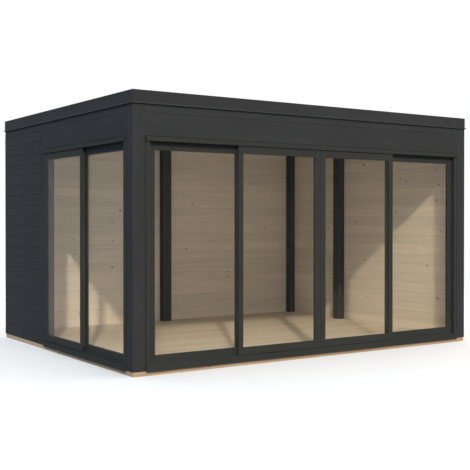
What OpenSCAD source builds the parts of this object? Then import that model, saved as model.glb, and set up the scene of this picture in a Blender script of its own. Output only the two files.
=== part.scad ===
// Flat-roofed garden house with sliding glass doors on the front and on the left side.
// Millimetres. +Z is up, the front faces -Y, and the origin is on the ground under the middle of the house.

/* [House] */
// Width over the posts, left to right
house_w = 4000; // [3400:10:5200]
// Depth over the posts, front to rear
house_d = 3054; // [2700:2:4200]
// Height from the base to the top of the door heads
door_h = 1967; // [1850:1:2200]
// Height of the lintels over the doors
lintel_h = 204; // [150:1:300]
// Bay between the posts that hold the side door
side_bay = 1815; // [1500:5:2000]

/* [Base and floor] */
// Height of the timber base
base_h = 42; // [40:1:120]
// Width of each bearer of the base
bearer_w = 90; // [85:1:120]
// How far the base stands back under the posts
base_inset = 6; // [2:1:20]
// Number of bearers that run front to rear
cross_bearers = 7; // [3:1:9]
// Thickness of the floor boards
floor_t = 19; // [16:1:30]
// Fitting gap around the floor
floor_gap = 2; // [1:0.5:6]

/* [Posts and walls] */
// Width of the square posts
post_w = 115; // [105:1:140]
// Radius of the posts' outer corner
post_r = 4; // [2:1:20]
// Radius of the posts' other edges
arris_r = 3; // [1:0.5:5]
// Thickness of the wall boards
wall_t = 28; // [19:1:40]
// How far the wall boards stand back from the face of the posts
wall_setback = 1; // [1:1:10]
// How far the wall boards lap into the posts' rebates
lap_w = 30; // [15:1:40]
// Thickness of the lintels
lintel_t = 70; // [45:1:75]
// How far the lintels stand back from the face of the posts
lintel_setback = 1; // [1:1:10]
// Height of the rebate under a lintel's outer edge
drip_h = 5; // [3:1:20]
// Depth of that rebate
drip_d = 3; // [2:1:15]

/* [Roof] */
// Height of the ring beams and joists
beam_h = 105; // [80:1:160]
// Thickness of the ring beams
beam_t = 45; // [38:1:60]
// Number of roof joists
joists = 6; // [2:2:8]
// Thickness of the roof joists
joist_t = 45; // [38:1:60]
// Thickness of the roof deck
deck_t = 19; // [15:1:28]
// Height of the kerb on the roof's edge
kerb_h = 55; // [30:1:90]
// Thickness of the kerb
kerb_t = 45; // [30:1:60]
// Thickness of the roof membrane
membrane_t = 3; // [1:0.5:5]
// Sheet thickness of the edge trim
trim_t = 2; // [2:0.5:4]
// Width of the edge trim's top flange
trim_flange = 54; // [48:1:70]
// How far the edge trim hangs below the ring beam's top
trim_drop = 38; // [25:1:60]
// How far the drip lip stands out from the edge trim
lip_out = 12; // [4:1:16]
// Height of the drip lip's slope
lip_h = 12; // [6:1:20]

/* [Door frames] */
// Face width of the jambs
jamb_w = 50; // [40:1:60]
// How far the jambs stand out from the face of the posts
jamb_proud = 4; // [0:0.5:5]
// Width of the rebate between a jamb's face and the post
rebate_w = 10; // [4:1:16]
// Depth of that rebate
rebate_d = 10; // [4:1:16]
// How far the head and sill stand out from the face of the posts
frame_proud = 14; // [12:0.5:24]
// How far the lips of the head and sill stop short of the posts
lip_end = 8; // [0:1:15]
// Height of the head's front lip
head_h = 38; // [35:1:60]
// Thickness of the head's and the sill's plate
plate_t = 8; // [5:1:12]
// Thickness of the thin fins, rails and back lips
fin_t = 4; // [3:0.5:5]
// How far the sill's apron hangs down over the base
apron_h = 9; // [4:1:35]
// Height of the sill's front lip above the base
sill_lip_h = 47; // [22:1:47]
// Height of the sill's rails above the base
rail_h = 58; // [53:1:60]
// Depth of the head's guide fins under its plate
guide_h = 30; // [24:1:36]

/* [Door leaves] */
// How far the sliding leaves stand out from the face of the posts
track_out = 4; // [0:0.5:6]
// Thickness of a leaf
leaf_t = 32; // [28:1:45]
// Running gap between the leaves, and between leaf and frame
leaf_gap = 5; // [4:0.5:6]
// Height of the sliding leaves' underside above the base
leaf_lift = 49; // [48:1:54]
// Height of the fixed leaves' underside above the base
fixed_lift = 40; // [10:1:46]
// Space over the leaves, under the head's plate
leaf_headroom = 14; // [10:1:20]
// Face height of the leaves' top rail
leaf_head_h = 83; // [70:1:110]
// Face height of a sliding leaf's bottom rail
leaf_rail_h = 67; // [62:1:110]
// Face width of the stiles at the jambs and at the middle
lock_stile_w = 58; // [50:1:90]
// Face width of the stiles where two leaves pass
pass_stile_w = 48; // [36:1:60]
// Thickness of the glass
glass_t = 8; // [4:1:16]
// Depth of the glass behind the outer face of its leaf
glass_setback = 4; // [2:0.5:10]
// Depth of the groove that holds the glass
glass_bite = 14; // [8:1:18]
// Gap between the glass edge and the bottom of its groove
glass_gap = 2; // [1:0.5:4]
// Width of the channel under a leaf, for its rollers and the rail
channel_w = 16; // [14:0.5:20]
// Depth of that channel
channel_d = 41; // [40:1:48]
// Running gap on each side of a guide fin in its slot
guide_gap = 5; // [5:0.5:6]
// Radius of the rollers
roller_r = 14; // [10:0.5:14]
// Width of the rollers
roller_w = 8; // [6:0.5:12]
// Radius of the roller axles
axle_r = 4; // [2:0.5:5]
// Distance from a leaf's stile to its roller axle
roller_inset = 80; // [40:5:160]
// Running gap between roller and rail
roller_gap = 0.3; // [0.1:0.1:0.5]

/* [Hidden] */
$fn = 48;
// Reach of a cut beyond the face that it opens
slack = 5;

// Colours
anthracite = "#3d3d3c";
spruce = "#cdb48c";
base_wood = "#b98f6a";
membrane_grey = "#2e2f30";
pane = "#a9bdbf80";
nylon = "#1d1d1d";

// Levels
floor_top = base_h + floor_t;
head_top = base_h + door_h;
head_under = head_top - plate_t;
beam_low = head_top + lintel_h;
beam_top = beam_low + beam_h;
deck_top = beam_top + deck_t;
kerb_top = deck_top + kerb_h;
trim_top = kerb_top + trim_t;
trim_low = beam_top - trim_drop;
sill_top = base_h + plate_t;
rail_top = base_h + rail_h;
leaf_low = base_h + leaf_lift;
fixed_low = base_h + fixed_lift;
leaf_top = head_under - leaf_headroom;
sight_low = leaf_low + leaf_rail_h;
sight_high = leaf_top - leaf_head_h;

// Places across a wall, inward from the face of the posts
wall_in = wall_setback + wall_t;
beam_in = wall_setback + beam_t;
outer_track = -track_out;
inner_track = outer_track + leaf_t + leaf_gap;
frame_back = inner_track + leaf_t + leaf_gap + fin_t;
lip_back = track_out + leaf_gap;

// Places along the walls
front_bay_end = house_w - post_w;
side_bay_end = post_w + side_bay;
side_post_end = side_bay_end + post_w;
rear_post_start = (house_w - post_w) / 2;
rear_post_end = rear_post_start + post_w;

// Door leaves, each as [start, end, stile at start, stile at end, track, seat of its channel, underside]
front_open = [post_w + jamb_w, front_bay_end - jamb_w];
side_open = [post_w + jamb_w, side_bay_end - jamb_w];
front_middle = house_w / 2;
front_quarter = (front_open[1] - front_open[0]) / 4;
left_pass = front_open[0] + front_quarter;
right_pass = front_open[1] - front_quarter;
side_pass = (side_open[0] + side_open[1]) / 2;
half_pass = pass_stile_w / 2;
slide_seat = leaf_low + channel_d;
front_left_fixed = [
    front_open[0], left_pass + half_pass,
    lock_stile_w, pass_stile_w, inner_track, rail_top, fixed_low
];
front_right_fixed = [
    right_pass - half_pass, front_open[1],
    pass_stile_w, lock_stile_w, inner_track, rail_top, fixed_low
];
front_left_slide = [
    left_pass - half_pass, front_middle - leaf_gap / 2,
    pass_stile_w, lock_stile_w, outer_track, slide_seat, leaf_low
];
front_right_slide = [
    front_middle + leaf_gap / 2, right_pass + half_pass,
    lock_stile_w, pass_stile_w, outer_track, slide_seat, leaf_low
];
side_fixed = [
    side_open[0], side_pass + half_pass,
    lock_stile_w, pass_stile_w, inner_track, rail_top, fixed_low
];
side_slide = [
    side_pass - half_pass, side_open[1] - leaf_gap,
    pass_stile_w, pass_stile_w, outer_track, slide_seat, leaf_low
];

// Placing

// Moves the plan's front left corner so that the origin lies under the middle of the house.
module placed() {
    translate([-house_w / 2, -house_d / 2, 0]) children();
}

// Turns what is drawn along the front so that it lies along the left side.
module on_left() {
    mirror([1, -1, 0]) children();
}

// Turns what is drawn along the front so that it lies along the rear.
module on_rear() {
    translate([0, house_d, 0]) mirror([0, 1, 0]) children();
}

// Turns what is drawn along the front so that it lies along the right side.
module on_right() {
    translate([house_w, 0, 0]) mirror([1, 0, 0]) on_left() children();
}

// Draws a profile of depth and height along a wall.
module along(from, to) {
    translate([from, 0, 0]) rotate([90, 0, 90]) linear_extrude(to - from) children();
}

// A rectangle between two corners of a profile.
module strip(low, high) {
    translate(low) square(high - low);
}

// A box between two corners.
module block(low, high) {
    translate(low) cube(high - low);
}

// Base and floor

module base_long_bearers() {
    low = [base_inset, base_inset, 0];
    high = [house_w - base_inset, base_inset + bearer_w, base_h];
    color(base_wood) placed() {
        block(low, high);
        on_rear() block(low, high);
    }
}

module base_cross_bearers() {
    pitch = (house_w - 2 * base_inset - bearer_w) / (cross_bearers - 1);
    low = base_inset + bearer_w;
    color(base_wood) placed() {
        for (i = [0 : cross_bearers - 1]) {
            x = base_inset + i * pitch;
            block([x, low, 0], [x + bearer_w, house_d - low, base_h]);
        }
    }
}

// Boards inside the walls and the door sills, cut out round the posts.
module floor_deck() {
    at_wall = wall_in + floor_gap;
    at_sill = frame_back + floor_gap;
    reach = post_w + floor_gap;
    color(spruce) placed() translate([0, 0, base_h]) linear_extrude(floor_t) difference() {
        union() {
            strip([at_sill, at_sill], [house_w - at_wall, house_d - at_wall]);
            strip([at_wall, side_bay_end], [at_sill, house_d - at_wall]);
        }
        for (x = [-slack, house_w - reach], y = [-slack, house_d - reach]) {
            translate([x, y]) square(reach + slack);
        }
        for (x = [-slack, house_w - reach]) {
            strip([x, side_bay_end - floor_gap], [x + reach + slack, side_post_end + floor_gap]);
        }
        strip([rear_post_start - floor_gap, house_d - reach], [rear_post_end + floor_gap, house_d + slack]);
    }
}

// Posts

// What rounds one corner of a post takes away.
module corner_waste(r) {
    difference() {
        translate([-slack, -slack]) square(r + slack);
        translate([r, r]) circle(r);
    }
}

// A square post in plan, with its first corner rounded by r and the others by the arris.
module post_plan(size, r) {
    difference() {
        square(size);
        corner_waste(r);
        translate([size, 0]) mirror([1, 0]) corner_waste(arris_r);
        translate([0, size]) mirror([0, 1]) corner_waste(arris_r);
        translate([size, size]) rotate(180) corner_waste(arris_r);
    }
}

// The rebate along the far side of a post, where the boards of a wall along the front lap in.
module wall_rebate() {
    block([post_w - lap_w, -slack, base_h - slack], [post_w + slack, wall_in, beam_low]);
}

// A post at a front corner, rebated for a wall along the side where asked.
module front_post(side_wall) {
    difference() {
        translate([0, 0, base_h]) linear_extrude(beam_top - base_h) post_plan(post_w, post_r);
        if (side_wall) on_left() wall_rebate();
    }
}

// A post at a rear corner, inside the boards and under the ring beams.
module rear_post() {
    size = post_w - wall_in;
    translate([wall_in, wall_in, base_h]) linear_extrude(beam_low - base_h) post_plan(size, arris_r);
}

// A post within a wall along the front, rebated on its far side and, where asked, on its near side.
module middle_post(near_wall) {
    difference() {
        translate([0, 0, base_h]) linear_extrude(beam_top - base_h) post_plan(post_w, arris_r);
        wall_rebate();
        if (near_wall) translate([post_w, 0, 0]) mirror([1, 0, 0]) wall_rebate();
    }
}

module front_left_post() {
    color(anthracite) placed() front_post(false);
}

module front_right_post() {
    color(anthracite) placed() translate([house_w, 0, 0]) mirror([1, 0, 0]) front_post(true);
}

module rear_left_post() {
    color(anthracite) placed() on_rear() rear_post();
}

module rear_right_post() {
    color(anthracite) placed() on_rear() translate([house_w, 0, 0]) mirror([1, 0, 0]) rear_post();
}

module middle_posts() {
    color(anthracite) placed() {
        on_left() translate([side_bay_end, 0, 0]) middle_post(false);
        on_right() translate([side_bay_end, 0, 0]) middle_post(true);
        on_rear() translate([rear_post_start, 0, 0]) middle_post(true);
    }
}

// Walls and lintels

// The boards of one bay along the front.
module wall_bay(from, to) {
    block([from, wall_setback, base_h], [to, wall_in, beam_low]);
}

// The rear walls stand between the side walls, which run through to the rear corners.
module rear_wall_left() {
    color(spruce) placed() on_rear() wall_bay(wall_in, rear_post_start + lap_w);
}

module rear_wall_right() {
    color(spruce) placed() on_rear() wall_bay(rear_post_end - lap_w, house_w - wall_in);
}

module right_wall_front() {
    color(spruce) placed() on_right() wall_bay(post_w - lap_w, side_bay_end + lap_w);
}

module right_wall_rear() {
    color(spruce) placed() on_right() wall_bay(side_post_end - lap_w, house_d - wall_setback);
}

module left_wall_rear() {
    color(spruce) placed() on_left() wall_bay(side_post_end - lap_w, house_d - wall_setback);
}

// The beam over a door, from post to post, rebated over the head's lip.
module lintel(from, to) {
    along(from, to) difference() {
        strip([lintel_setback, head_top], [lintel_setback + lintel_t, beam_low]);
        strip([-slack, head_top - slack], [lintel_setback + drip_d, head_top + drip_h]);
    }
}

module front_lintel() {
    color(anthracite) placed() lintel(post_w, front_bay_end);
}

module left_lintel() {
    color(anthracite) placed() on_left() lintel(post_w, side_bay_end);
}

// Roof

// The beam that closes a bay at the top.
module ring_beam(from, to) {
    block([from, wall_setback, beam_low], [to, beam_in, beam_top]);
}

module front_ring_beam() {
    color(anthracite) placed() ring_beam(post_w, front_bay_end);
}

module rear_ring_beams() {
    color(anthracite) placed() on_rear() {
        ring_beam(beam_in, rear_post_start);
        ring_beam(rear_post_end, house_w - beam_in);
    }
}

module side_ring_beam_pair() {
    ring_beam(post_w, side_bay_end);
    ring_beam(side_post_end, house_d - wall_setback);
}

module side_ring_beams() {
    color(anthracite) placed() {
        on_left() side_ring_beam_pair();
        on_right() side_ring_beam_pair();
    }
}

// Joists from ring beam to ring beam, an even number, so that none meets the rear middle post.
module roof_joists() {
    pitch = house_w / (joists + 1);
    color(spruce) placed() {
        for (i = [1 : joists]) {
            x = i * pitch - joist_t / 2;
            block([x, beam_in, beam_low], [x + joist_t, house_d - beam_in, beam_top]);
        }
    }
}

module roof_deck() {
    color(spruce) placed() block([0, 0, beam_top], [house_w, house_d, deck_top]);
}

module roof_long_kerbs() {
    color(base_wood) placed() {
        block([0, 0, deck_top], [house_w, kerb_t, kerb_top]);
        on_rear() block([0, 0, deck_top], [house_w, kerb_t, kerb_top]);
    }
}

module roof_side_kerbs() {
    low = [kerb_t, 0, deck_top];
    high = [house_d - kerb_t, kerb_t, kerb_top];
    color(base_wood) placed() {
        on_left() block(low, high);
        on_right() block(low, high);
    }
}

module roof_membrane() {
    low = [kerb_t, kerb_t, deck_top];
    color(membrane_grey) placed() block(low, [house_w - kerb_t, house_d - kerb_t, deck_top + membrane_t]);
}

// Section of the edge trim: a flange over the kerb, a face plate, and a drip lip that kicks out.
module trim_section() {
    lip_face = trim_t + lip_out;
    polygon([
        [-trim_t, trim_top], [trim_flange - trim_t, trim_top],
        [trim_flange - trim_t, kerb_top], [0, kerb_top], [0, trim_low], [-lip_face, trim_low],
        [-lip_face, trim_low + trim_t], [-trim_t, trim_low + trim_t + lip_h]
    ]);
}

// One length of edge trim along the front, mitred at both ends.
module trim_length(run) {
    out = trim_t + lip_out + slack;
    into = trim_flange + slack;
    intersection() {
        along(-out, run + out) trim_section();
        translate([0, 0, trim_low - slack]) linear_extrude(trim_top - trim_low + 2 * slack) {
            polygon([[-out, -out], [run + out, -out], [run - into, into], [into, into]]);
        }
    }
}

module roof_trim_front() {
    color(anthracite) placed() trim_length(house_w);
}

module roof_trim_rear() {
    color(anthracite) placed() on_rear() trim_length(house_w);
}

module roof_trim_left() {
    color(anthracite) placed() on_left() trim_length(house_d);
}

module roof_trim_right() {
    color(anthracite) placed() on_right() trim_length(house_d);
}

// Door frames, drawn along the front

// The head: a plate and a front lip over the bay, and two guide fins and a back lip between the jambs.
module door_head(from, to) {
    along(from, to) strip([0, head_under], [frame_back, head_top]);
    along(from + lip_end, to - lip_end) {
        strip([-frame_proud, head_under], [frame_back, head_top]);
        strip([-frame_proud, head_top - head_h], [-lip_back, head_top]);
    }
    along(from + jamb_w, to - jamb_w) {
        for (track = [outer_track, inner_track]) {
            middle = track + leaf_t / 2;
            strip([middle - fin_t / 2, head_under - guide_h], [middle + fin_t / 2, head_top]);
        }
        strip([frame_back - fin_t, head_top - head_h], [frame_back, head_top]);
    }
}

// The sill: a plate, a front lip and an apron over the bay, and two rails and a back lip between the jambs.
module door_sill(from, to) {
    along(from, to) strip([0, base_h], [frame_back, sill_top]);
    along(from + lip_end, to - lip_end) {
        strip([-frame_proud, base_h], [frame_back, sill_top]);
        strip([-frame_proud, base_h - apron_h], [-lip_back, base_h + sill_lip_h]);
    }
    along(from + jamb_w, to - jamb_w) {
        for (track = [outer_track, inner_track]) {
            middle = track + leaf_t / 2;
            strip([middle - fin_t / 2, base_h], [middle + fin_t / 2, rail_top]);
        }
        strip([frame_back - fin_t, base_h], [frame_back, base_h + sill_lip_h]);
    }
}

// One jamb at the start of a bay, rebated beside the post.
module door_jamb() {
    face = -jamb_proud;
    difference() {
        block([0, face, sill_top], [jamb_w, frame_back, head_under]);
        block([-slack, face - slack, sill_top - slack], [rebate_w, face + rebate_d, head_under + slack]);
    }
}

// Both jambs of a bay, on the sill's plate and up to the head's.
module door_jambs(from, to) {
    translate([from, 0, 0]) door_jamb();
    translate([to, 0, 0]) mirror([1, 0, 0]) door_jamb();
}

module front_door_head() {
    color(anthracite) placed() door_head(post_w, front_bay_end);
}

module front_door_sill() {
    color(anthracite) placed() door_sill(post_w, front_bay_end);
}

module front_door_jambs() {
    color(anthracite) placed() door_jambs(post_w, front_bay_end);
}

module side_door_head() {
    color(anthracite) placed() on_left() door_head(post_w, side_bay_end);
}

module side_door_sill() {
    color(anthracite) placed() on_left() door_sill(post_w, side_bay_end);
}

module side_door_jambs() {
    color(anthracite) placed() on_left() door_jambs(post_w, side_bay_end);
}

// Door leaves, drawn along the front

// What the guide fin, the rail and the rollers need out of a leaf of the given depth.
module track_cuts(leaf) {
    middle = leaf[4] + leaf_t / 2;
    slot = fin_t / 2 + guide_gap;
    slot_low = head_under - guide_h - guide_gap;
    strip([middle - slot, slot_low], [middle + slot, leaf_top + slack]);
    strip([middle - channel_w / 2, leaf[6] - slack], [middle + channel_w / 2, leaf[5]]);
}

// The space that the glass takes in a leaf, widened by the given amount at every edge.
module glass_space(leaf, edge) {
    face = leaf[4] + glass_setback;
    low = [leaf[0] + leaf[2] - edge, face, sight_low - edge];
    high = [leaf[1] - leaf[3] + edge, face + glass_t, sight_high + edge];
    block(low, high);
}

// Both stiles of a leaf, over its full height.
module leaf_stiles(leaf) {
    difference() {
        for (span = [[leaf[0], leaf[0] + leaf[2]], [leaf[1] - leaf[3], leaf[1]]]) {
            along(span[0], span[1]) difference() {
                strip([leaf[4], leaf[6]], [leaf[4] + leaf_t, leaf_top]);
                track_cuts(leaf);
            }
        }
        glass_space(leaf, glass_bite);
    }
}

// Top and bottom rail of a leaf, between its stiles.
module leaf_rails(leaf) {
    difference() {
        along(leaf[0] + leaf[2], leaf[1] - leaf[3]) difference() {
            union() {
                strip([leaf[4], leaf[6]], [leaf[4] + leaf_t, sight_low]);
                strip([leaf[4], sight_high], [leaf[4] + leaf_t, leaf_top]);
            }
            track_cuts(leaf);
        }
        glass_space(leaf, glass_bite);
    }
}

// The pane of a leaf, let into its frame.
module leaf_glass(leaf) {
    glass_space(leaf, glass_bite - glass_gap);
}

// Two rollers under a sliding leaf, each on an axle from wall to wall of the channel.
module leaf_rollers(leaf) {
    middle = leaf[4] + leaf_t / 2;
    for (x = [leaf[0] + leaf[2] + roller_inset, leaf[1] - leaf[3] - roller_inset]) {
        translate([x, middle, rail_top + roller_gap + roller_r]) rotate([90, 0, 0]) {
            cylinder(h = roller_w, r = roller_r, center = true);
            cylinder(h = channel_w, r = axle_r, center = true);
        }
    }
}

module fixed_leaf_stiles() {
    color(anthracite) placed() {
        leaf_stiles(front_left_fixed);
        leaf_stiles(front_right_fixed);
        on_left() leaf_stiles(side_fixed);
    }
}

module fixed_leaf_rails() {
    color(anthracite) placed() {
        leaf_rails(front_left_fixed);
        leaf_rails(front_right_fixed);
        on_left() leaf_rails(side_fixed);
    }
}

module fixed_leaf_glass() {
    color(pane) placed() {
        leaf_glass(front_left_fixed);
        leaf_glass(front_right_fixed);
        on_left() leaf_glass(side_fixed);
    }
}

module front_left_slider_stiles() {
    color(anthracite) placed() leaf_stiles(front_left_slide);
}

module front_left_slider_rails() {
    color(anthracite) placed() leaf_rails(front_left_slide);
}

module front_left_slider_glass() {
    color(pane) placed() leaf_glass(front_left_slide);
}

module front_left_slider_rollers() {
    color(nylon) placed() leaf_rollers(front_left_slide);
}

module front_right_slider_stiles() {
    color(anthracite) placed() leaf_stiles(front_right_slide);
}

module front_right_slider_rails() {
    color(anthracite) placed() leaf_rails(front_right_slide);
}

module front_right_slider_glass() {
    color(pane) placed() leaf_glass(front_right_slide);
}

module front_right_slider_rollers() {
    color(nylon) placed() leaf_rollers(front_right_slide);
}

module side_slider_stiles() {
    color(anthracite) placed() on_left() leaf_stiles(side_slide);
}

module side_slider_rails() {
    color(anthracite) placed() on_left() leaf_rails(side_slide);
}

module side_slider_glass() {
    color(pane) placed() on_left() leaf_glass(side_slide);
}

module side_slider_rollers() {
    color(nylon) placed() on_left() leaf_rollers(side_slide);
}

base_long_bearers();
base_cross_bearers();
floor_deck();
front_left_post();
front_right_post();
rear_left_post();
rear_right_post();
middle_posts();
rear_wall_left();
rear_wall_right();
right_wall_front();
right_wall_rear();
left_wall_rear();
front_lintel();
left_lintel();
front_ring_beam();
rear_ring_beams();
side_ring_beams();
roof_joists();
roof_deck();
roof_long_kerbs();
roof_side_kerbs();
roof_membrane();
roof_trim_front();
roof_trim_rear();
roof_trim_left();
roof_trim_right();
front_door_head();
front_door_sill();
front_door_jambs();
side_door_head();
side_door_sill();
side_door_jambs();
fixed_leaf_stiles();
fixed_leaf_rails();
fixed_leaf_glass();
front_left_slider_stiles();
front_left_slider_rails();
front_left_slider_glass();
front_left_slider_rollers();
front_right_slider_stiles();
front_right_slider_rails();
front_right_slider_glass();
front_right_slider_rollers();
side_slider_stiles();
side_slider_rails();
side_slider_glass();
side_slider_rollers();
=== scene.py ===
"""Dresses a flat-roofed garden shed with sliding glass doors.

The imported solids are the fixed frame, in metres. Timbers and metal profiles keep their shape and get eased
edges and a finish. The slabs of the walls, floor and roof become the boards that they stand for. The door
leaves get their seals and closing beads.
"""

import logging
import math
import random
from collections.abc import Iterable, Sequence
from dataclasses import dataclass
from enum import Enum
from typing import Any

import bmesh
import bpy
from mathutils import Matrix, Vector


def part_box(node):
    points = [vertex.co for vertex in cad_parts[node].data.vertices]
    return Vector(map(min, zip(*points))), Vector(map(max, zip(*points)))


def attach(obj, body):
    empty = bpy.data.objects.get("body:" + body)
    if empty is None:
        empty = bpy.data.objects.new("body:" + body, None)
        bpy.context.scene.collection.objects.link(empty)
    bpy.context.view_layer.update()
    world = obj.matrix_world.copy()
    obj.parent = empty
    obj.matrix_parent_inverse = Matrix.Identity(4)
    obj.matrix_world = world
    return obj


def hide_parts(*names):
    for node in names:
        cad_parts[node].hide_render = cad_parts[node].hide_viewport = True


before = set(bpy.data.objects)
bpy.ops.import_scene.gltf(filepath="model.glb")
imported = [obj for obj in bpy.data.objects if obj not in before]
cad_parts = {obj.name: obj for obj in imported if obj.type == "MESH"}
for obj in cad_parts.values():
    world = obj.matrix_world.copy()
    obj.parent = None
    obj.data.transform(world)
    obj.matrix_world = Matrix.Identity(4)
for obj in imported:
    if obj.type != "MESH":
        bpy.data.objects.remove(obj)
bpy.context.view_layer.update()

log = logging.getLogger("shed")

IMAGE_SIDE = 470
SENSOR_MM = 36.0
GRAIN = "grain"
BOARD = "board"
PLAIN_BOARD = 0.5
MERGE = 1e-5
FLAT_ANGLE = math.radians(1.0)
SHARP_ANGLE = math.radians(35.0)
NOISE_SPAN = (0.3, 0.7)
WHOLE = (0.0, 1.0)

Span = tuple[float, float]
Triple = tuple[float, float, float]
Colour = Triple
Section = Sequence[Span]
Material = bpy.types.Material
Socket = bpy.types.NodeSocket


class Body(str, Enum):
    """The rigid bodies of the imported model."""

    HOUSE = "house"
    FRONT_LEFT = "front_left_slider"
    FRONT_RIGHT = "front_right_slider"
    SIDE = "side_slider"


class Axis(int, Enum):
    """The axes of the frame, by their place in a vector."""

    X = 0
    Y = 1
    Z = 2


class Lay(Enum):
    """How boards lie in a slab.

    Each lay gives the axis along the boards, the axis on which they follow each other, the axis through
    them and the way in from their outer face.
    """

    REAR_WALL = (Axis.X, Axis.Z, Axis.Y, -1)
    RIGHT_WALL = (Axis.Y, Axis.Z, Axis.X, -1)
    LEFT_WALL = (Axis.Y, Axis.Z, Axis.X, 1)
    ROOF = (Axis.X, Axis.Y, Axis.Z, -1)


def opaque(colour: Any) -> Any:
    """Adds a full alpha to a plain colour and leaves a socket as it is."""
    return (*colour, 1.0) if isinstance(colour, tuple) else colour


def around(spread: float) -> Span:
    """Gives the range of a spread to both sides of one."""
    return 1.0 - spread, 1.0 + spread


class Graph:
    """The nodes of a material or world, with short calls for what the finishes share."""

    def __init__(self, owner: Material | bpy.types.World) -> None:
        """Empties the owner's nodes.

        Args:
            owner: The material or world.
        """
        owner.use_nodes = True
        self.owner = owner
        self.tree = owner.node_tree
        self.tree.nodes.clear()

    def node(self, kind: str, inputs: dict[Any, Any] | None = None, **settings: Any) -> bpy.types.Node:
        """Adds a node.

        Args:
            kind: The node's type.
            inputs: Sockets by name or place, each with a value or the socket that feeds it.
            **settings: Properties of the node itself.

        Returns:
            The new node.
        """
        node = self.tree.nodes.new(kind)
        for key, value in settings.items():
            setattr(node, key, value)
        for key, value in (inputs or {}).items():
            if isinstance(value, Socket):
                self.tree.links.new(value, node.inputs[key])
            else:
                node.inputs[key].default_value = value
        return node

    def math(self, operation: str, first: Any, second: Any) -> Socket:
        """Joins two numbers by an operation of the math node."""
        return self.node("ShaderNodeMath", {0: first, 1: second}, operation=operation).outputs[0]

    def vector(self, operation: str, first: Any, second: Any) -> Socket:
        """Joins two vectors by an operation of the vector math node."""
        inputs = {0: first, 1: second}
        return self.node("ShaderNodeVectorMath", inputs, operation=operation).outputs["Vector"]

    def scaled(self, vector: Any, factor: Any) -> Socket:
        """Multiplies a vector or colour by a number."""
        inputs = {0: vector, "Scale": factor}
        return self.node("ShaderNodeVectorMath", inputs, operation="SCALE").outputs["Vector"]

    def length(self, vector: Any) -> Socket:
        """Gives a vector's length."""
        return self.node("ShaderNodeVectorMath", {0: vector}, operation="LENGTH").outputs["Value"]

    def attribute(self, name: str) -> bpy.types.Node:
        """Reads a value that the mesh carries at its points."""
        return self.node("ShaderNodeAttribute", attribute_name=name)

    def noise(self, place: Any, scale: Triple, detail: float = 2.0, roughness: float = 0.5) -> Socket:
        """Gives cloud noise.

        Args:
            place: The socket with the place.
            scale: How many clouds there are to a metre, along each axis.
            detail: How many finer layers the noise has.
            roughness: How strong the finer layers are.

        Returns:
            The socket with the noise.
        """
        inputs = {"Vector": self.vector("MULTIPLY", place, scale), "Scale": 1.0}
        inputs |= {"Detail": detail, "Roughness": roughness}
        return self.node("ShaderNodeTexNoise", inputs).outputs[0]

    def remap(self, value: Any, before: Span, after: Span) -> Socket:
        """Moves a number smoothly from one range to another.

        Args:
            value: The number, or the socket that gives it.
            before: The range that is read.
            after: The range that is given.

        Returns:
            The socket with the new number.
        """
        inputs = {"Value": value, "From Min": before[0], "From Max": before[1]}
        inputs |= {"To Min": after[0], "To Max": after[1]}
        return self.node("ShaderNodeMapRange", inputs, interpolation_type="SMOOTHSTEP").outputs["Result"]

    def mix(self, factor: Any, first: Any, second: Any) -> Socket:
        """Mixes two colours.

        Args:
            factor: The share of the second colour.
            first: A colour or its socket.
            second: A colour or its socket.

        Returns:
            The socket with the mixed colour.
        """
        inputs = {0: factor, 6: opaque(first), 7: opaque(second)}
        return self.node("ShaderNodeMix", inputs, data_type="RGBA", blend_type="MIX").outputs[2]

    def blend(self, factor: Any, first: Socket, second: Socket) -> Socket:
        """Mixes two shaders by the share of the second."""
        return self.node("ShaderNodeMixShader", {0: factor, 1: first, 2: second}).outputs[0]

    def bump(self, height: Any, relief: float) -> Socket:
        """Turns a height into a normal, with the relief in metres."""
        inputs = {"Height": height, "Distance": relief, "Strength": 1.0}
        return self.node("ShaderNodeBump", inputs).outputs["Normal"]

    def shader(self, inputs: dict[str, Any]) -> Socket:
        """Adds the main surface shader with the given inputs."""
        return self.node("ShaderNodeBsdfPrincipled", inputs).outputs[0]

    def surface(self, shader: Socket) -> Material:
        """Ends the material with its surface and gives it back."""
        self.node("ShaderNodeOutputMaterial", {"Surface": shader})
        return self.owner


@dataclass(frozen=True)
class Finish:
    """What every finish has."""

    name: str

    def graph(self) -> Graph:
        """Starts the finish's material."""
        return Graph(bpy.data.materials.new(self.name))


@dataclass(frozen=True)
class PaintedTimber(Finish):
    """Satin grey paint, with the wood's fibres just telling through it."""

    name: str = "anthracite_paint"
    colour: Colour = (0.0478, 0.0497, 0.0513)
    cloud_scale: Triple = (1.3, 4.0, 4.0)
    cloud_spread: float = 0.06
    board_spread: float = 0.02
    fibre_scale: Triple = (5.0, 420.0, 420.0)
    rough: Span = (0.58, 0.7)
    relief: float = 0.00018
    sheen: float = 0.01

    def material(self) -> Material:
        """Builds the paint.

        Returns:
            The material.
        """
        graph = self.graph()
        grain = graph.attribute(GRAIN).outputs["Vector"]
        board = graph.attribute(BOARD).outputs["Fac"]
        fibre = graph.noise(grain, self.fibre_scale, detail=3.0, roughness=0.55)
        cloud = graph.noise(grain, self.cloud_scale, detail=3.0)
        clouded = graph.remap(cloud, NOISE_SPAN, around(self.cloud_spread))
        tone = graph.math("MULTIPLY", clouded, graph.remap(board, WHOLE, around(self.board_spread)))
        inputs = {
            "Base Color": graph.scaled(self.colour, tone),
            "Roughness": graph.remap(fibre, NOISE_SPAN, self.rough),
            "Specular IOR Level": self.sheen,
            "Normal": graph.bump(fibre, self.relief),
        }
        return graph.surface(graph.shader(inputs))


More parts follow.
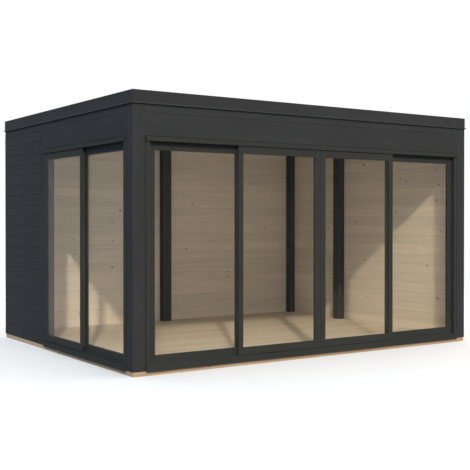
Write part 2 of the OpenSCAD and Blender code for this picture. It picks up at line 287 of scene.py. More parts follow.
@dataclass(frozen=True)
class PowderCoat(Finish):
    """Grey powder coat on metal, finely textured."""

    colour: Colour
    cloud_scale: Triple = (2.0, 5.0, 5.0)
    cloud_spread: float = 0.05
    speck_pitch: float = 0.0011
    rough: Span = (0.5, 0.58)
    relief: float = 0.00005
    sheen: float = 0.008

    def material(self) -> Material:
        """Builds the coat.

        Returns:
            The material.
        """
        graph = self.graph()
        grain = graph.attribute(GRAIN).outputs["Vector"]
        per_metre = 1.0 / self.speck_pitch
        speck = graph.noise(grain, (per_metre, per_metre, per_metre))
        cloud = graph.noise(grain, self.cloud_scale)
        tone = graph.remap(cloud, NOISE_SPAN, around(self.cloud_spread))
        inputs = {
            "Base Color": graph.scaled(self.colour, tone),
            "Roughness": graph.remap(cloud, NOISE_SPAN, self.rough),
            "Specular IOR Level": self.sheen,
            "Normal": graph.bump(speck, self.relief),
        }
        return graph.surface(graph.shader(inputs))


@dataclass(frozen=True)
class BareWood(Finish):
    """Unpainted softwood with growth rings, fibres and knots that lie along each board."""

    light: Colour
    dark: Colour
    board_shift: Triple = (37.0, 11.0, 5.0)
    board_tone: Span = (0.94, 1.05)
    cloud_scale: Triple = (0.9, 6.0, 6.0)
    cloud_spread: float = 0.04
    ring_pitch: float = 0.011
    ring_run: float = 1.1
    ring_slant: float = 0.4
    ring_span: Span = (0.34, 0.72)
    fibre_scale: Triple = (14.0, 900.0, 400.0)
    fibre_span: Span = (0.3, 0.75)
    fibre_share: float = 0.16
    fibre_height: float = 0.5
    knot: Colour = (0.075, 0.032, 0.014)
    knot_gap: Span = (0.5, 0.15)
    knot_squash: float = 1.25
    knot_rarity: float = 1.8
    knot_size: Span = (0.002, 0.015)
    knot_depth: Span = (0.4, 0.95)
    knot_rim: Span = (-0.0016, 0.0012)
    halo_reach: float = 5.0
    halo_pull: float = 0.012
    halo_fade: float = 3.0
    halo_share: float = 0.5
    rough: Span = (0.5, 0.66)
    relief: float = 0.0003

    def material(self) -> Material:
        """Builds the wood.

        Returns:
            The material.
        """
        graph = self.graph()
        board = graph.attribute(BOARD).outputs["Fac"]
        shift = graph.scaled(self.board_shift, board)
        place = graph.vector("ADD", graph.attribute(GRAIN).outputs["Vector"], shift)
        distance, size, depth = self.knots(graph, place)
        halo = graph.remap(graph.math("DIVIDE", distance, size), (0.0, self.halo_reach), (1.0, 0.0))
        aside = graph.math("MULTIPLY", halo, self.halo_pull)
        bent = graph.vector("ADD", place, graph.node("ShaderNodeCombineXYZ", {"Y": aside}).outputs[0])
        across = 1.0 / self.ring_pitch
        ring_scale = (self.ring_run, across, across * self.ring_slant)
        ring = graph.noise(bent, ring_scale, detail=3.0, roughness=0.6)
        fibre = graph.noise(bent, self.fibre_scale)
        cloud = graph.noise(place, self.cloud_scale)
        colour = graph.mix(graph.remap(ring, self.ring_span, WHOLE), self.light, self.dark)
        colour = graph.mix(graph.remap(fibre, self.fibre_span, (0.0, self.fibre_share)), colour, self.dark)
        clouded = graph.remap(cloud, NOISE_SPAN, around(self.cloud_spread))
        tone = graph.math("MULTIPLY", graph.remap(board, WHOLE, self.board_tone), clouded)
        warmth = graph.math("MULTIPLY", graph.math("POWER", halo, self.halo_fade), self.halo_share)
        colour = graph.mix(warmth, graph.scaled(colour, tone), self.dark)
        core = graph.remap(graph.math("SUBTRACT", distance, size), self.knot_rim, (1.0, 0.0))
        colour = graph.mix(graph.math("MULTIPLY", core, depth), colour, self.knot)
        height = graph.math("ADD", ring, graph.math("MULTIPLY", fibre, self.fibre_height))
        inputs = {
            "Base Color": colour,
            "Roughness": graph.remap(ring, NOISE_SPAN, self.rough),
            "Normal": graph.bump(height, self.relief),
        }
        return graph.surface(graph.shader(inputs))

    def knots(self, graph: Graph, place: Socket) -> tuple[Socket, Socket, Socket]:
        """Scatters knots along the boards.

        Args:
            graph: The material's nodes.
            place: The place along, across and into the boards.

        Returns:
            The distance to the nearest knot, that knot's radius and how dark it is.
        """
        along, across = self.knot_gap
        parts = graph.node("ShaderNodeSeparateXYZ", {0: place}).outputs
        # Across and into the board count together, so that a knot is whole on every face.
        girth = graph.math("ADD", parts["Y"], parts["Z"])
        face = graph.node("ShaderNodeCombineXYZ", {"X": parts["X"], "Y": girth}).outputs[0]
        cells = graph.vector("MULTIPLY", face, (1.0 / along, 1.0 / across, 0.0))
        inputs = {"Vector": cells, "Scale": 1.0}
        knots = graph.node("ShaderNodeTexVoronoi", inputs, voronoi_dimensions="2D").outputs
        away = graph.vector("SUBTRACT", cells, knots["Position"])
        flat = graph.vector("MULTIPLY", away, (along, across * self.knot_squash, 0.0))
        chance = graph.node("ShaderNodeSeparateColor", {0: knots["Color"]}).outputs
        size = graph.remap(graph.math("POWER", chance[0], self.knot_rarity), WHOLE, self.knot_size)
        return graph.length(flat), size, graph.remap(chance[1], WHOLE, self.knot_depth)


@dataclass(frozen=True)
class RoofSheet(Finish):
    """Matt dark roofing membrane with a little dust on it."""

    name: str = "roof_sheet"
    colour: Colour = (0.028, 0.029, 0.031)
    dust: Colour = (0.085, 0.083, 0.078)
    dust_span: Span = (0.42, 0.75)
    dust_share: float = 0.7
    cloud_scale: Triple = (1.4, 1.4, 1.4)
    fine_scale: Triple = (260.0, 260.0, 260.0)
    fine_height: float = 0.08
    rough: Span = (0.62, 0.8)
    relief: float = 0.003

    def material(self) -> Material:
        """Builds the membrane.

        Returns:
            The material.
        """
        graph = self.graph()
        place = graph.attribute(GRAIN).outputs["Vector"]
        cloud = graph.noise(place, self.cloud_scale, detail=5.0, roughness=0.6)
        fine = graph.noise(place, self.fine_scale)
        dusty = graph.remap(cloud, self.dust_span, (0.0, self.dust_share))
        height = graph.math("ADD", cloud, graph.math("MULTIPLY", fine, self.fine_height))
        inputs = {
            "Base Color": graph.mix(dusty, self.colour, self.dust),
            "Roughness": graph.remap(cloud, NOISE_SPAN, self.rough),
            "Normal": graph.bump(height, self.relief),
        }
        return graph.surface(graph.shader(inputs))


@dataclass(frozen=True)
class BlackRubber(Finish):
    """Black seal rubber and nylon."""

    name: str = "black_rubber"
    colour: Colour = (0.012, 0.012, 0.012)
    worn: Colour = (0.024, 0.024, 0.024)
    fine_scale: Triple = (600.0, 600.0, 600.0)
    rough: Span = (0.5, 0.65)
    relief: float = 0.00008

    def material(self) -> Material:
        """Builds the rubber.

        Returns:
            The material.
        """
        graph = self.graph()
        fine = graph.noise(graph.node("ShaderNodeTexCoord").outputs["Object"], self.fine_scale)
        inputs = {
            "Base Color": graph.mix(fine, self.colour, self.worn),
            "Roughness": graph.remap(fine, NOISE_SPAN, self.rough),
            "Normal": graph.bump(fine, self.relief),
        }
        return graph.surface(graph.shader(inputs))


@dataclass(frozen=True)
class ClearGlass(Finish):
    """Clear pane that lets the lamps shine through it."""

    name: str = "clear_pane"
    tint: Colour = (0.97, 0.99, 0.985)
    shade: Colour = (0.9, 0.92, 0.915)
    index: float = 1.1

    def material(self) -> Material:
        """Builds the glass.

        Returns:
            The material.
        """
        graph = self.graph()
        inputs = {
            "Base Color": opaque(self.tint),
            "Roughness": 0.0,
            "IOR": self.index,
            "Transmission Weight": 1.0,
        }
        pane = graph.shader(inputs)
        passing = graph.node("ShaderNodeBsdfTransparent", {"Color": opaque(self.shade)}).outputs[0]
        lamp_ray = graph.node("ShaderNodeLightPath").outputs["Is Shadow Ray"]
        return graph.surface(graph.blend(lamp_ray, pane, passing))


class Finishes:
    """The object's materials, each made once."""

    def __init__(self) -> None:
        """Makes every material."""
        door_coat = PowderCoat("door_powder_coat", (0.0458, 0.0472, 0.0446))
        trim_coat = PowderCoat("trim_powder_coat", (0.0458, 0.0472, 0.0486))
        spruce = BareWood("wall_spruce", (0.645, 0.57, 0.465), (0.575, 0.485, 0.38))
        floor = BareWood("floor_spruce", (0.61, 0.52, 0.405), (0.525, 0.43, 0.315), knot_gap=(0.8, 0.22))
        base = BareWood("base_timber", (0.64, 0.44, 0.275), (0.52, 0.335, 0.19), rough=(0.66, 0.82),
                        relief=0.0008)
        self.paint = PaintedTimber().material()
        self.door_coat = door_coat.material()
        self.trim_coat = trim_coat.material()
        self.spruce = spruce.material()
        self.floor = floor.material()
        self.base = base.material()
        self.sheet = RoofSheet().material()
        self.rubber = BlackRubber().material()
        self.glass = ClearGlass().material()


@dataclass(frozen=True)
class Box:
    """The lowest and highest corner of a solid."""

    low: Vector
    high: Vector


def merged(node: str) -> bmesh.types.BMesh:
    """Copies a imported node's mesh with its points joined and its flat faces whole.

    Args:
        node: The node's name.

    Returns:
        The copy, which the caller frees.
    """
    mesh = bmesh.new()
    mesh.from_mesh(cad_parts[node].data)
    bmesh.ops.remove_doubles(mesh, verts=mesh.verts, dist=MERGE)
    bmesh.ops.dissolve_limit(mesh, angle_limit=FLAT_ANGLE, verts=mesh.verts, edges=mesh.edges)
    return mesh


def solids(node: str) -> list[Box]:
    """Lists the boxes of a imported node's separate solids.

    Args:
        node: The node's name.

    Returns:
        One box for each solid, from the lowest corner on.
    """
    mesh = merged(node)
    left = set(mesh.verts)
    found = []
    while left:
        todo = [left.pop()]
        group = []
        while todo:
            vertex = todo.pop()
            group.append(vertex.co.copy())
            near = {edge.other_vert(vertex) for edge in vertex.link_edges} & left
            left -= near
            todo += near
        found.append(Box(Vector(map(min, zip(*group))), Vector(map(max, zip(*group)))))
    mesh.free()
    return sorted(found, key=lambda box: tuple(box.low))


def write_grain(mesh: bpy.types.Mesh, places: Iterable[Sequence[float]], boards: Iterable[float]) -> None:
    """Writes where each point lies along its board, and which board it is on.

    Args:
        mesh: The mesh.
        places: The place along, across and into the board, in metres.
        boards: A number from 0 to 1 for each point's board.
    """
    grain = mesh.attributes.new(GRAIN, "FLOAT_VECTOR", "POINT")
    grain.data.foreach_set("vector", [part for place in places for part in place])
    board = mesh.attributes.new(BOARD, "FLOAT", "POINT")
    board.data.foreach_set("value", list(boards))


def put_in_scene(name: str, data: bpy.types.ID) -> bpy.types.Object:
    """Makes an object of a mesh, a lens or a lamp and links it to the scene.

    Args:
        name: The object's name.
        data: What it shows.

    Returns:
        The object.
    """
    thing = bpy.data.objects.new(name, data)
    bpy.context.scene.collection.objects.link(thing)
    return thing


def hand_over(piece: bpy.types.Object, body: Body, slot: str, *nodes: str) -> bpy.types.Object:
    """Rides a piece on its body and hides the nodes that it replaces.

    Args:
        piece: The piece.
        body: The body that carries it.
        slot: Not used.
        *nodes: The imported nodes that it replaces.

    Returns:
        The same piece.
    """
    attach(piece, body.value)
    if nodes:
        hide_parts(*nodes)
    log.info("%s on %s, %d faces", piece.name, body.value, len(piece.data.polygons))
    return piece


class Sketch:
    """Points, faces, finishes and grain of one piece, gathered before its mesh is made."""

    def __init__(self) -> None:
        """Starts an empty sketch."""
        self.points: list[Vector] = []
        self.grain: list[Triple] = []
        self.board: list[float] = []
        self.faces: list[tuple[int, ...]] = []
        self.finish: list[int] = []

    def ring(self, points: Sequence[Vector], grain: Sequence[Triple], board: float) -> int:
        """Adds a ring of points.

        Args:
            points: The points, in order.
            grain: The grain place of every point.
            board: The number that tells this board from others.

        Returns:
            The number of the ring's first point.
        """
        start = len(self.points)
        self.points += points
        self.grain += grain
        self.board += [board] * len(points)
        return start

    def strips(self, here: int, there: int, finishes: Sequence[int]) -> None:
        """Joins two rings by a strip after each of their points.

        Args:
            here: The first point of one ring.
            there: The first point of the other.
            finishes: The finish of each strip.
        """
        count = len(finishes)
        for i, finish in enumerate(finishes):
            j = (i + 1) % count
            self.faces.append((here + i, here + j, there + j, there + i))
            self.finish.append(finish)

    def bar(self, axes: tuple[Axis, Axis, Axis], ends: Span, outline: Section, board: float = PLAIN_BOARD,
            local: Section | None = None, finishes: Sequence[int] | None = None) -> None:
        """Adds a straight bar, capped in the first finish.

        Args:
            axes: The axis along the bar and the two axes of its outline.
            ends: Where the bar starts and ends.
            outline: The bar's outline.
            board: The number that tells this board from others.
            local: The outline as the grain counts it, where that isn't the same.
            finishes: The finish of the strip after each point of the outline, where that isn't the first.
        """
        along, first, second = axes
        starts = []
        for end in ends:
            points = []
            for one, other in outline:
                point = Vector()
                point[along] = end
                point[first] = one
                point[second] = other
                points.append(point)
            starts.append(self.ring(points, [(end, *pair) for pair in local or outline], board))
        count = len(outline)
        self.strips(*starts, finishes or [0] * count)
        for start in starts:
            self.faces.append(tuple(range(start, start + count)))
            self.finish.append(0)

    def loop(self, rings: Sequence[Sequence[Vector]]) -> None:
        """Joins rings of points into a closed loop, in the first finish.

        Args:
            rings: The rings, each with the same number of points.
        """
        starts = [self.ring(ring, [tuple(point) for point in ring], PLAIN_BOARD) for ring in rings]
        for here, there in zip(starts, starts[1:] + starts[:1]):
            self.strips(here, there, [0] * len(rings[0]))

    def piece(self, name: str, materials: Sequence[Material]) -> bpy.types.Object:
        """Makes the sketch's object.

        Args:
            name: The piece's name.
            materials: The finishes, in the order that the faces name them.

        Returns:
            The new object, linked to the scene.
        """
        mesh = bpy.data.meshes.new(name)
        mesh.from_pydata(self.points, [], self.faces)
        mesh.polygons.foreach_set("material_index", self.finish)
        write_grain(mesh, self.grain, self.board)
        turned = bmesh.new()
        turned.from_mesh(mesh)
        bmesh.ops.recalc_face_normals(turned, faces=turned.faces)
        turned.to_mesh(mesh)
        turned.free()
        for material in materials:
            mesh.materials.append(material)
        return put_in_scene(name, mesh)


@dataclass
class EasedPart:
    """A timber or metal profile of the frame with its edges eased."""

    node: str
    along: Axis
    slot: str
    ease: float
    body: Body = Body.HOUSE
    steps: int = 2

    def build(self, material: Material) -> bpy.types.Object:
        """Copies the node's shape, eases its edges and dresses it.

        Args:
            material: The finish.

        Returns:
            The piece that stands for the node.
        """
        name = self.node + "_eased"
        mesh = bpy.data.meshes.new(name)
        copy = merged(self.node)
        copy.to_mesh(mesh)
        copy.free()
        order = [self.along, *(axis for axis in Axis if axis != self.along)]
        places = [tuple(vertex.co[axis] for axis in order) for vertex in mesh.vertices]
        write_grain(mesh, places, [random.Random(self.node).random()] * len(places))
        mesh.materials.append(material)
        mesh.shade_smooth()
        mesh.set_sharp_from_angle(angle=SHARP_ANGLE)
        piece = put_in_scene(name, mesh)
        bevel = piece.modifiers.new("eased_edges", "BEVEL")
        bevel.width = self.ease
        bevel.segments = self.steps
        bevel.limit_method = "ANGLE"
        bevel.angle_limit = SHARP_ANGLE
        bevel.harden_normals = True
        return hand_over(piece, self.body, self.slot, self.node)


@dataclass
class Planking:
    """A slab of tongued and grooved boards, with a vee between them on both faces."""

    node: str
    lay: Lay
    cover: float
    slot: str
    outer_vee: float = 0.003
    inner_vee: float = 0.0025
    gap: float = 0.0004
    tongue: float = 0.007
    tongue_half: float = 0.004
    outer_strips: int = 3

    def section(self, thick: float, high: float, last: bool) -> Section:
        """Gives a board's outline, from its lower edge up and from its outer face in.

        Args:
            thick: The board's thickness.
            high: The height that it covers.
            last: Whether it is the last board, which has no tongue.

        Returns:
            The outline's points. The first three strips are the outer face and its vees.
        """
        top = high - self.gap
        vee = self.outer_vee
        outline = [(0.0, vee), (vee, 0.0), (top - vee, 0.0), (top, vee)]
        middle = thick / 2
        half = self.tongue_half
        if not last:
            crest = top + self.tongue
            outline += [(top, middle - half), (crest, middle - half)]
            outline += [(crest, middle + half), (top, middle + half)]
        vee = self.inner_vee
        outline += [(top, thick - vee), (top - vee, thick), (vee, thick), (0.0, thick - vee)]
        floor = self.tongue + self.gap
        room = half + self.gap
        outline += [(0.0, middle + room), (floor, middle + room)]
        outline += [(floor, middle - room), (0.0, middle - room)]
        return outline

    def build(self, outer: Material, inner: Material) -> bpy.types.Object:
        """Lays the boards in the node's box, from the top down, so that the lowest takes what is left.

        Args:
            outer: The finish of the outer face.
            inner: The finish of everything else.

        Returns:
            The piece that stands for the node.
        """
        along, stack, depth, way = self.lay.value
        low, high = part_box(self.node)
        courses = round((high[stack] - low[stack]) / self.cover)
        face = low[depth] if way > 0 else high[depth]
        draw = random.Random(self.node)
        sketch = Sketch()
        for course in range(courses):
            top = high[stack] - (courses - 1 - course) * self.cover
            base = top - self.cover if course else low[stack]
            local = self.section(high[depth] - low[depth], top - base, course == courses - 1)
            outline = [(base + up, face + way * inward) for up, inward in local]
            finishes = [0] * self.outer_strips + [1] * (len(local) - self.outer_strips)
            ends = (low[along], high[along])
            sketch.bar((along, stack, depth), ends, outline, draw.random(), local, finishes)
        piece = sketch.piece(self.node + "_boards", [outer, inner])
        return hand_over(piece, Body.HOUSE, self.slot, self.node)


@dataclass
class FloorBoards:
    """Floor boards from side to side, cut out round the posts as the floor's slab is."""

    node: str = "floor_deck"
    cover: float = 0.121
    chamfer: float = 0.0015
    gap: float = 0.0006

    def rim(self) -> list[tuple[Vector, Vector]]:
        """Lists the edges of the slab's top face.

        Returns:
            The two ends of each edge.
        """
        mesh = merged(self.node)
        top = max(mesh.faces, key=lambda face: face.normal.z * face.calc_area())
        edges = [(edge.verts[0].co.copy(), edge.verts[1].co.copy()) for edge in top.edges]
        mesh.free()
        return edges

    def spans(self, edges: list[tuple[Vector, Vector]], y: float) -> list[Span]:
        """Finds where a line across the slab lies on it.

        Args:
            edges: The slab's rim.
            y: The line's place.

        Returns:
            The start and end of each stretch on the slab.
        """
        crossed = sorted(a.x for a, b in edges if min(a.y, b.y) < y < max(a.y, b.y))
        return list(zip(crossed[::2], crossed[1::2]))

    def build(self, material: Material) -> bpy.types.Object:
        """Lays the boards.

        Args:
            material: The finish.

        Returns:
            The piece that stands for the slab.
        """
        low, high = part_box(self.node)
        edges = self.rim()
        courses = round((high.y - low.y) / self.cover)
        pitch = (high.y - low.y) / courses
        steps = sorted({point.y for edge in edges for point in edge})
        draw = random.Random(self.node)
        sketch = Sketch()
        for course in range(courses):
            front = low.y + course * pitch
            rear = front + pitch - self.gap
            board = draw.random()
            cuts = [front, *(step for step in steps if front + MERGE < step < rear - MERGE), rear]
            for near, far in zip(cuts, cuts[1:]):
                outline = self.section((near, far), (low.z, high.z), (near == front, far == rear))
                for ends in self.spans(edges, (near + far) / 2):
                    sketch.bar((Axis.X, Axis.Y, Axis.Z), ends, outline, board)
        piece = sketch.piece("floor_boards", [material])
        return hand_over(piece, Body.HOUSE, "floor_boards", self.node)

    def section(self, width: Span, height: Span, eased: tuple[bool, bool]) -> Section:
        """Gives the outline of a stretch of board.

        Args:
            width: Where it starts and ends, from front to rear.
            height: Its underside and its top.
            eased: Whether the front and the rear upper edge are eased.

        Returns:
            The outline's points, without the doubles of an edge that isn't eased.
        """
        front, rear = width
        under, top = height
        near = self.chamfer if eased[0] else 0.0
        far = self.chamfer if eased[1] else 0.0
        outline = [(front, under), (front, top - near), (front + near, top)]
        outline += [(rear - far, top), (rear, top - far), (rear, under)]
        return list(dict.fromkeys(outline))


@dataclass
class RoofCover:
    """The roofing membrane: a sheet on the deck, turned up at the kerbs, with welded laps."""

    node: str = "roof_membrane"
    sheet_width: float = 1.0
    lap_width: float = 0.05
    lap_height: float = 0.002
    upstand: float = 0.05
    thick: float = 0.0025

    def build(self, material: Material) -> bpy.types.Object:
        """Lays the membrane.

        Args:
            material: The finish.

        Returns:
            The piece that stands for the sheet.
        """
        low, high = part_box(self.node)
        rise = (high.z, low.z + self.upstand)
        inner = (low.x + self.thick, high.x - self.thick)
        sketch = Sketch()
        self.strip(sketch, (low.x, high.x), (low.y, high.y), (low.z, high.z))
        for x in (low.x, high.x - self.thick):
            self.strip(sketch, (x, x + self.thick), (low.y, high.y), rise)
        for y in (low.y, high.y - self.thick):
            self.strip(sketch, inner, (y, y + self.thick), rise)
        laps = round((high.y - low.y) / self.sheet_width)
        for lap in range(1, laps):
            y = low.y + lap * (high.y - low.y) / laps
            height = (high.z, high.z + self.lap_height)
            self.strip(sketch, inner, (y, y + self.lap_width), height, slope=self.lap_height)
        piece = sketch.piece("roof_cover", [material])
        return hand_over(piece, Body.HOUSE, "membrane", self.node)

    def strip(self, sketch: Sketch, ends: Span, width: Span, height: Span, slope: float = 0.0) -> None:
        """Adds a flat strip along the house.

        Args:
            sketch: The sketch that takes it.
            ends: Where it starts and ends along the house.
            width: Its front and rear edge.
            height: Its underside and its top.
            slope: How far its upper long edges lean in.
        """
        front, rear = width
        under, top = height
        outline = [(front, under), (rear, under), (rear - slope, top), (front + slope, top)]
        sketch.bar((Axis.X, Axis.Y, Axis.Z), ends, outline)


@dataclass
class PaneSeals:
    """The black seals between the panes and their frames, on both faces."""

    glass: str
    body: Body
    bite: float = 0.012
    width: float = 0.005
    outer_height: float = 0.003
    inner_height: float = 0.006
    lip_share: float = 0.4

    def build(self, material: Material) -> bpy.types.Object:
        """Runs a seal round each pane of the node.

        Args:
            material: The finish.

        Returns:
            The piece with every seal.
        """
        sketch = Sketch()
        for pane in solids(self.glass):
            size = pane.high - pane.low
            axes = (Axis.Y, Axis.X) if size.x < size.y else (Axis.X, Axis.Y)
            self.ring(sketch, pane, axes, pane.low[axes[1]], -self.outer_height)
            self.ring(sketch, pane, axes, pane.high[axes[1]], self.inner_height)
        piece = sketch.piece(self.glass + "_seals", [material])
        return hand_over(piece, self.body, "roller_nylon")

    def ring(self, sketch: Sketch, pane: Box, axes: tuple[Axis, Axis], face: float, height: float) -> None:
        """Runs one seal round a pane.

        Args:
            sketch: The sketch that takes it.
            pane: The pane.
            axes: The axis along the pane's width, and the one through it.
            face: The place of the pane's face.
            height: How far the seal stands out of that face, with the way as its sign.
        """
        wide, thin = axes
        outline = [(0.0, 0.0), (self.width, 0.0), (self.width, height * self.lip_share), (0.0, height)]
        rings = []
        for right, up in ((False, False), (True, False), (True, True), (False, True)):
            ring = []
            for inward, outward in outline:
                step = self.bite + inward
                point = Vector()
                point[wide] = pane.high[wide] - step if right else pane.low[wide] + step
                point[thin] = face + outward
                point.z = pane.high.z - step if up else pane.low.z + step
                ring.append(point)
            rings.append(ring)
        sketch.loop(rings)


@dataclass
class ClosingBead:
    """The bead in the gap where a sliding leaf shuts, held by one edge and just short of the other."""

    name: str
    door: str
    held_by: str
    meets: str
    across: Axis
    body: Body
    setback: float = 0.0015
    play: float = 0.0005
    nose: float = 0.001

    def room(self, held: Box, met: Box) -> float:
        """Gives the gap between two solids, whichever comes first."""
        axis = self.across
        return max(met.low[axis] - held.high[axis], held.low[axis] - met.high[axis])

    def edges(self) -> tuple[Box, Box]:
        """Finds the two solids that face each other over the narrowest gap.

        Returns:
            The solid that holds the bead and the one that it meets.
        """
        pairs = [(held, met) for held in solids(self.held_by) for met in solids(self.meets)]
        return min(pairs, key=lambda pair: self.room(*pair))

    def build(self, material: Material) -> bpy.types.Object:
        """Runs the bead from the sill to the head.

        Args:
            material: The finish.

        Returns:
            The bead.
        """
        held, met = self.edges()
        deep = Axis.Y if self.across == Axis.X else Axis.X
        way = 1 if met.low[self.across] > held.low[self.across] else -1
        root = held.high[self.across] if way > 0 else held.low[self.across]
        tip = (met.low[self.across] if way > 0 else met.high[self.across]) - way * self.play
        shoulder = tip - way * self.nose
        front = max(held.low[deep], met.low[deep]) + self.setback
        back = min(held.high[deep], met.high[deep]) - self.setback
        outline = [(root, front), (shoulder, front), (tip, front + self.nose)]
        outline += [(tip, back - self.nose), (shoulder, back), (root, back)]
        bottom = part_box(self.door + "_sill")[1].z + self.play
        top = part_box(self.door + "_head")[0].z - self.play
        sketch = Sketch()
        sketch.bar((Axis.Z, self.across, deep), (bottom, top), outline)
        piece = sketch.piece(self.name, [material])
        return hand_over(piece, self.body, "coated_metal")


@dataclass
class Carcase:
    """Base, posts, walls, floor and roof."""

    finishes: Finishes
    wall_cover: float = 0.10834
    deck_cover: float = 0.1175
    deck_vee: float = 0.0005
    timber_ease: float = 0.002
    post_ease: float = 0.001
    beam_ease: float = 0.003
    trim_ease: float = 0.0007

    def build(self) -> None:
        """Builds and dresses every piece."""
        self.base()
        self.posts()
        self.walls()
        self.roof()

    def base(self) -> None:
        """Dresses the base's bearers and lays the floor."""
        for node, along in (("base_long_bearers", Axis.X), ("base_cross_bearers", Axis.Y)):
            EasedPart(node, along, "base_timber", self.timber_ease).build(self.finishes.base)
        FloorBoards().build(self.finishes.floor)

    def posts(self) -> None:
        """Dresses the posts, the lintels and the ring beams."""
        posts = ("front_left_post", "front_right_post", "rear_left_post", "rear_right_post", "middle_posts")
        for node in posts:
            EasedPart(node, Axis.Z, "painted_timber", self.post_ease).build(self.finishes.paint)
        beams = {
            "front_lintel": Axis.X,
            "left_lintel": Axis.Y,
            "front_ring_beam": Axis.X,
            "rear_ring_beams": Axis.X,
            "side_ring_beams": Axis.Y,
        }
        for node, along in beams.items():
            EasedPart(node, along, "painted_timber", self.beam_ease).build(self.finishes.paint)

    def walls(self) -> None:
        """Boards the walls, painted outside and bare inside."""
        bays = {
            "rear_wall_left": Lay.REAR_WALL,
            "rear_wall_right": Lay.REAR_WALL,
            "right_wall_front": Lay.RIGHT_WALL,
            "right_wall_rear": Lay.RIGHT_WALL,
            "left_wall_rear": Lay.LEFT_WALL,
        }
        for node, lay in bays.items():
            boards = Planking(node, lay, self.wall_cover, "wall_boards")
            boards.build(self.finishes.paint, self.finishes.spruce)

    def roof(self) -> None:
        """Dresses the roof's timbers, deck, membrane and edge trim."""
        timbers = {"roof_joists": Axis.Y, "roof_long_kerbs": Axis.X, "roof_side_kerbs": Axis.Y}
        for node, along in timbers.items():
            EasedPart(node, along, "roof_timber", self.timber_ease).build(self.finishes.spruce)
        deck = Planking("roof_deck", Lay.ROOF, self.deck_cover, "roof_timber", outer_vee=self.deck_vee)
        deck.build(self.finishes.spruce, self.finishes.spruce)
        RoofCover().build(self.finishes.sheet)
        trims = {"front": Axis.X, "rear": Axis.X, "left": Axis.Y, "right": Axis.Y}
        for side, along in trims.items():
            trim = EasedPart("roof_trim_" + side, along, "coated_metal", self.trim_ease)
            trim.build(self.finishes.trim_coat)


@dataclass
class DoorSet:
    """Frames, leaves, panes, seals, beads and rollers of both doors."""

    finishes: Finishes
    metal_ease: float = 0.0009

    def build(self) -> None:
        """Builds and dresses every piece."""
        for door, along in (("front", Axis.X), ("side", Axis.Y)):
            for part in ("head", "sill"):
                self.profile(f"{door}_door_{part}", along, Body.HOUSE)
            self.profile(f"{door}_door_jambs", Axis.Z, Body.HOUSE)
        self.leaf("fixed_leaf", Axis.X, Body.HOUSE)
        for body, along in ((Body.FRONT_LEFT, Axis.X), (Body.FRONT_RIGHT, Axis.X), (Body.SIDE, Axis.Y)):
            self.leaf(body.value, along, body)
            self.coat_node(body.value + "_rollers", self.finishes.rubber)
        self.beads()

    def profile(self, node: str, along: Axis, body: Body) -> None:
        """Eases and coats one metal profile."""
        EasedPart(node, along, "coated_metal", self.metal_ease, body).build(self.finishes.door_coat)

    def leaf(self, name: str, along: Axis, body: Body) -> None:
        """Dresses the stiles, rails, panes and seals of one leaf or group of leaves.

        Args:
            name: The start of the nodes' names.
            along: The way that the rails run.
            body: The body that carries it.
        """
        self.profile(name + "_stiles", Axis.Z, body)
        self.profile(name + "_rails", along, body)
        self.coat_node(name + "_glass", self.finishes.glass)
        PaneSeals(name + "_glass", body).build(self.finishes.rubber)

    def coat_node(self, node: str, material: Material) -> None:
        """Gives a node of the frame, which keeps its shape, its finish.

        Args:
            node: The node's name.
            material: The finish.
        """
        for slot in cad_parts[node].material_slots:
            slot.material = material
        log.info("%s keeps its shape", node)

    def beads(self) -> None:
        """Closes the gaps between the two front sliders and between the side slider and its jamb."""
        front = ClosingBead("front_meeting_bead", "front_door", "front_left_slider_stiles",
                            "front_right_slider_stiles", Axis.X, Body.FRONT_LEFT)
        side = ClosingBead("side_closing_bead", "side_door", "side_door_jambs", "side_slider_stiles",
                           Axis.Y, Body.HOUSE)
        for bead in (front, side):
            bead.build(self.finishes.door_coat)


@dataclass
class PhotoCamera:
    """The camera, nearly level, at the photograph's place."""

    place: Triple = (-5.4385, -8.1543, 1.3262)
    heading_deg: float = 33.939
    tilt_deg: float = -0.484
    focal_px: float = 895.66
    centre_px: float = 225.38

    def build(self) -> bpy.types.Object:
        """Sets up the camera.

        Returns:
            The camera, which the scene uses.
        """
        lens = bpy.data.cameras.new("photo_camera")
        lens.sensor_width = SENSOR_MM
        lens.lens = SENSOR_MM * self.focal_px / IMAGE_SIDE
        lens.shift_y = (self.centre_px - IMAGE_SIDE / 2) / IMAGE_SIDE
        camera = put_in_scene("photo_camera", lens)
        camera.location = self.place
        camera.rotation_euler = (math.radians(90.0 + self.tilt_deg), 0.0, -math.radians(self.heading_deg))
        bpy.context.scene.camera = camera
        return camera


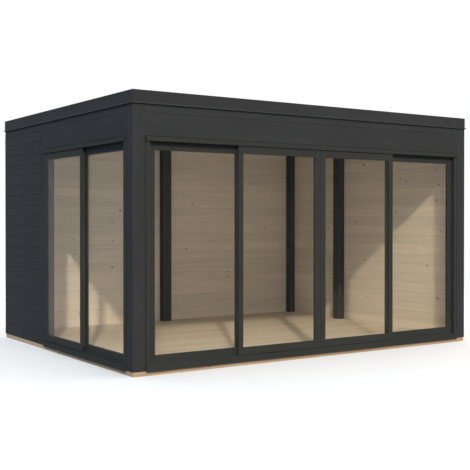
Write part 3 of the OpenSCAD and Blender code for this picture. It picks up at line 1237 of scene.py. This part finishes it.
@dataclass
class Studio:
    """Pale floor, white surroundings, soft fill and one soft key light."""

    floor_colour: Colour = (0.97, 0.97, 0.97)
    bounce_colour: Colour = (0.15, 0.15, 0.15)
    floor_side: float = 120.0
    fade: Span = (4.0, 11.0)
    seen_colour: Colour = (1.0, 1.0, 1.0)
    fill_colour: Colour = (1.0, 0.985, 0.97)
    cool_colour: Colour = (0.285, 0.55, 0.83)
    cool_span: Span = (-0.9, 0.2)
    fill: float = 1.08
    key_colour: Colour = (1.0, 0.86, 0.7)
    key: float = 2.0
    key_heading: Span = (0.49, 0.87)
    key_height_deg: float = 33.0
    key_width_deg: float = 1.5
    key_distance: float = 12.0

    def build(self) -> None:
        """Sets up the light and the floor."""
        bpy.context.scene.view_settings.view_transform = "Standard"
        self.surroundings()
        self.lamp()
        self.floor()

    def shown(self, graph: Graph) -> Socket:
        """Tells the rays that show the background from those that only light things.

        Args:
            graph: The nodes of the background.

        Returns:
            The socket that is 1 for rays that show it.
        """
        rays = graph.node("ShaderNodeLightPath").outputs
        seen = graph.math("MAXIMUM", rays["Is Camera Ray"], rays["Is Glossy Ray"])
        return graph.math("MAXIMUM", seen, rays["Is Transmission Ray"])

    def surroundings(self) -> None:
        """Makes the world white to look at, with a soft fill light that is cooler from the left."""
        graph = Graph(bpy.data.worlds.new("studio"))
        bpy.context.scene.world = graph.owner
        way = graph.node("ShaderNodeTexCoord").outputs["Generated"]
        left = graph.node("ShaderNodeSeparateXYZ", {0: way}).outputs["X"]
        tint = graph.mix(graph.remap(left, self.cool_span, (1.0, 0.0)), self.fill_colour, self.cool_colour)
        fill = graph.node("ShaderNodeBackground", {"Color": tint, "Strength": self.fill}).outputs[0]
        seen = {"Color": opaque(self.seen_colour), "Strength": 1.0}
        white = graph.node("ShaderNodeBackground", seen).outputs[0]
        graph.node("ShaderNodeOutputWorld", {"Surface": graph.blend(self.shown(graph), fill, white)})

    def lamp(self) -> None:
        """Hangs the key light, in front of the house and to its left."""
        light = bpy.data.lights.new("key_light", "SUN")
        light.color = self.key_colour
        light.energy = self.key
        light.angle = math.radians(self.key_width_deg)
        height = math.radians(self.key_height_deg)
        ahead = Vector((*self.key_heading, 0.0)).normalized() * math.cos(height)
        way = ahead - Vector((0.0, 0.0, math.sin(height)))
        lamp = put_in_scene("key_light", light)
        lamp.rotation_euler = way.to_track_quat("-Z", "Y").to_euler()
        lamp.location = -way * self.key_distance

    def floor(self) -> None:
        """Lays a floor that is pale to look at, throws little light back and fades to white far away."""
        half = self.floor_side / 2
        mesh = bpy.data.meshes.new("studio_floor")
        corners = [(-half, -half, 0.0), (half, -half, 0.0), (half, half, 0.0), (-half, half, 0.0)]
        mesh.from_pydata(corners, [], [(0, 1, 2, 3)])
        graph = Graph(bpy.data.materials.new("studio_floor"))
        shown = self.shown(graph)
        tone = graph.mix(shown, self.bounce_colour, self.floor_colour)
        pale = graph.node("ShaderNodeBsdfDiffuse", {"Color": tone}).outputs[0]
        white = graph.node("ShaderNodeEmission", {"Strength": 1.0}).outputs[0]
        away = graph.length(graph.node("ShaderNodeNewGeometry").outputs["Position"])
        far = graph.math("MULTIPLY", graph.remap(away, self.fade, WHOLE), shown)
        mesh.materials.append(graph.surface(graph.blend(far, pale, white)))
        ground = put_in_scene("studio_floor", mesh)


def main() -> None:
    """Builds the camera, the studio and the shed, in that order."""
    logging.basicConfig(level=logging.INFO, format="%(name)s: %(message)s")
    PhotoCamera().build()
    Studio().build()
    finishes = Finishes()
    Carcase(finishes).build()
    DoorSet(finishes).build()


if __name__ == "__main__":
    main()
